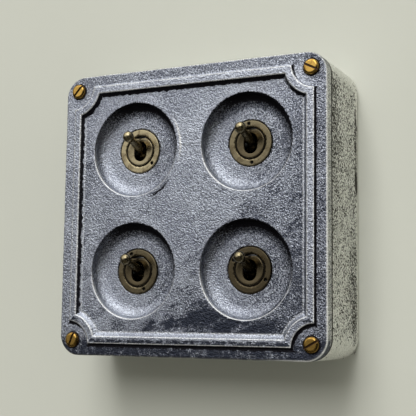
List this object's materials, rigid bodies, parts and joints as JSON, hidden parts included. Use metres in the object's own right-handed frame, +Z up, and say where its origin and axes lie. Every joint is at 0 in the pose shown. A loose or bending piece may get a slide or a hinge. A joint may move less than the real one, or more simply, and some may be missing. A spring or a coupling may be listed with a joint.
{
  "type": "surface-mounted toggle switch box",
  "caption": "Square surface-mounted cast aluminium switch box with a moulded cover, notched corners, round dishes and ball-ended brass toggle levers.",
  "frame": {"origin": "middle of the flat back face, on the wall", "axes": "+Z up the wall, -Y out of the wall through the face of the cover, +X to the right as seen from the front, millimetres in the source"},
  "size_m": [0.15, 0.0588, 0.15],
  "materials": {
    "cast_aluminium_face": "satin sand-cast with dark patina in the recesses",
    "cast_aluminium_box": "rough sand-cast, pitted",
    "antique_brass": "antique satin",
    "bright_brass": "turned, lightly tarnished",
    "plain_brass": "machined",
    "contact_copper": "stamped",
    "zinc_steel": "zinc plated",
    "spring_steel": "drawn wire",
    "brown_bakelite": "moulded",
    "ivory_nylon": "moulded",
    "black_rubber": "matt"
  },
  "bodies": {
    "case": {"front_cover": "cast_aluminium_face", "back_box": "cast_aluminium_box", "cover_screws": "bright_brass", "cable_grommet": "black_rubber", "earth_screw": "bright_brass", "earth_washer": "bright_brass", "tab_washers": "zinc_steel", "lock_nuts": "plain_brass", "terminal_screws": "zinc_steel", "pivot_pin_top_left": "zinc_steel", "pivot_pin_top_right": "zinc_steel", "pivot_pin_bottom_left": "zinc_steel", "pivot_pin_bottom_right": "zinc_steel", "bush_top_left": "antique_brass", "bush_top_right": "antique_brass", "bush_bottom_left": "antique_brass", "bush_bottom_right": "antique_brass", "dress_ring_top_left": "antique_brass", "dress_ring_top_right": "antique_brass", "dress_ring_bottom_left": "antique_brass", "dress_ring_bottom_right": "antique_brass", "frame_top_left": "zinc_steel", "frame_top_right": "zinc_steel", "frame_bottom_left": "zinc_steel", "frame_bottom_right": "zinc_steel", "housing_top_left": "brown_bakelite", "housing_top_right": "brown_bakelite", "housing_bottom_left": "brown_bakelite", "housing_bottom_right": "brown_bakelite", "common_contact_top_left": "plain_brass", "common_contact_top_right": "plain_brass", "common_contact_bottom_left": "plain_brass", "common_contact_bottom_right": "plain_brass", "throw_contacts_top_left": "plain_brass", "throw_contacts_top_right": "plain_brass", "throw_contacts_bottom_left": "plain_brass", "throw_contacts_bottom_right": "plain_brass"},
    "toggle_top_left": {"lever_top_left": "antique_brass", "spring_top_left": "spring_steel"},
    "striker_top_left": {"plunger_top_left": "ivory_nylon"},
    "contact_top_left": {"rocker_top_left": "contact_copper"},
    "toggle_top_right": {"lever_top_right": "antique_brass", "spring_top_right": "spring_steel"},
    "striker_top_right": {"plunger_top_right": "ivory_nylon"},
    "contact_top_right": {"rocker_top_right": "contact_copper"},
    "toggle_bottom_left": {"lever_bottom_left": "antique_brass", "spring_bottom_left": "spring_steel"},
    "striker_bottom_left": {"plunger_bottom_left": "ivory_nylon"},
    "contact_bottom_left": {"rocker_bottom_left": "contact_copper"},
    "toggle_bottom_right": {"lever_bottom_right": "antique_brass", "spring_bottom_right": "spring_steel"},
    "striker_bottom_right": {"plunger_bottom_right": "ivory_nylon"},
    "contact_bottom_right": {"rocker_bottom_right": "contact_copper"}
  },
  "joints": [
    {"name": "toggle_top_left_throw", "type": "hinge", "parent": "case", "child": "toggle_top_left", "pos_m": [-0.032, -0.0391, 0.033], "axis": [1, 0, 0], "range_deg": [0, 37]},
    {"name": "plunger_top_left_press", "type": "slide", "parent": "toggle_top_left", "child": "striker_top_left", "axis": [0, -0.9483, 0.3173], "range_m": [0, 0.0012], "stiffness_N_per_m": 600, "springref_m": -0.0006, "deforming": ["spring_top_left"]},
    {"name": "rocker_top_left_tilt", "type": "hinge", "parent": "case", "child": "contact_top_left", "pos_m": [-0.032, -0.0248, 0.033], "axis": [1, 0, 0], "range_deg": [-20.3, 0.3]},
    {"name": "toggle_top_right_throw", "type": "hinge", "parent": "case", "child": "toggle_top_right", "pos_m": [0.032, -0.0391, 0.033], "axis": [1, 0, 0], "range_deg": [0, 37]},
    {"name": "plunger_top_right_press", "type": "slide", "parent": "toggle_top_right", "child": "striker_top_right", "axis": [0, -0.9483, 0.3173], "range_m": [0, 0.0012], "stiffness_N_per_m": 600, "springref_m": -0.0006, "deforming": ["spring_top_right"]},
    {"name": "rocker_top_right_tilt", "type": "hinge", "parent": "case", "child": "contact_top_right", "pos_m": [0.032, -0.0248, 0.033], "axis": [1, 0, 0], "range_deg": [-20.3, 0.3]},
    {"name": "toggle_bottom_left_throw", "type": "hinge", "parent": "case", "child": "toggle_bottom_left", "pos_m": [-0.032, -0.0391, -0.031], "axis": [1, 0, 0], "range_deg": [0, 37]},
    {"name": "plunger_bottom_left_press", "type": "slide", "parent": "toggle_bottom_left", "child": "striker_bottom_left", "axis": [0, -0.9483, 0.3173], "range_m": [0, 0.0012], "stiffness_N_per_m": 600, "springref_m": -0.0006, "deforming": ["spring_bottom_left"]},
    {"name": "rocker_bottom_left_tilt", "type": "hinge", "parent": "case", "child": "contact_bottom_left", "pos_m": [-0.032, -0.0248, -0.031], "axis": [1, 0, 0], "range_deg": [-20.3, 0.3]},
    {"name": "toggle_bottom_right_throw", "type": "hinge", "parent": "case", "child": "toggle_bottom_right", "pos_m": [0.032, -0.0391, -0.031], "axis": [1, 0, 0], "range_deg": [0, 37]},
    {"name": "plunger_bottom_right_press", "type": "slide", "parent": "toggle_bottom_right", "child": "striker_bottom_right", "axis": [0, -0.9483, 0.3173], "range_m": [0, 0.0012], "stiffness_N_per_m": 600, "springref_m": -0.0006, "deforming": ["spring_bottom_right"]},
    {"name": "rocker_bottom_right_tilt", "type": "hinge", "parent": "case", "child": "contact_bottom_right", "pos_m": [0.032, -0.0248, -0.031], "axis": [1, 0, 0], "range_deg": [-20.3, 0.3]}
  ],
  "couplings": [
    {"joint": "rocker_top_left_tilt", "follows": "toggle_top_left_throw", "ratio": -0.5405},
    {"joint": "rocker_top_right_tilt", "follows": "toggle_top_right_throw", "ratio": -0.5405},
    {"joint": "rocker_bottom_left_tilt", "follows": "toggle_bottom_left_throw", "ratio": -0.5405},
    {"joint": "rocker_bottom_right_tilt", "follows": "toggle_bottom_right_throw", "ratio": -0.5405}
  ]
}
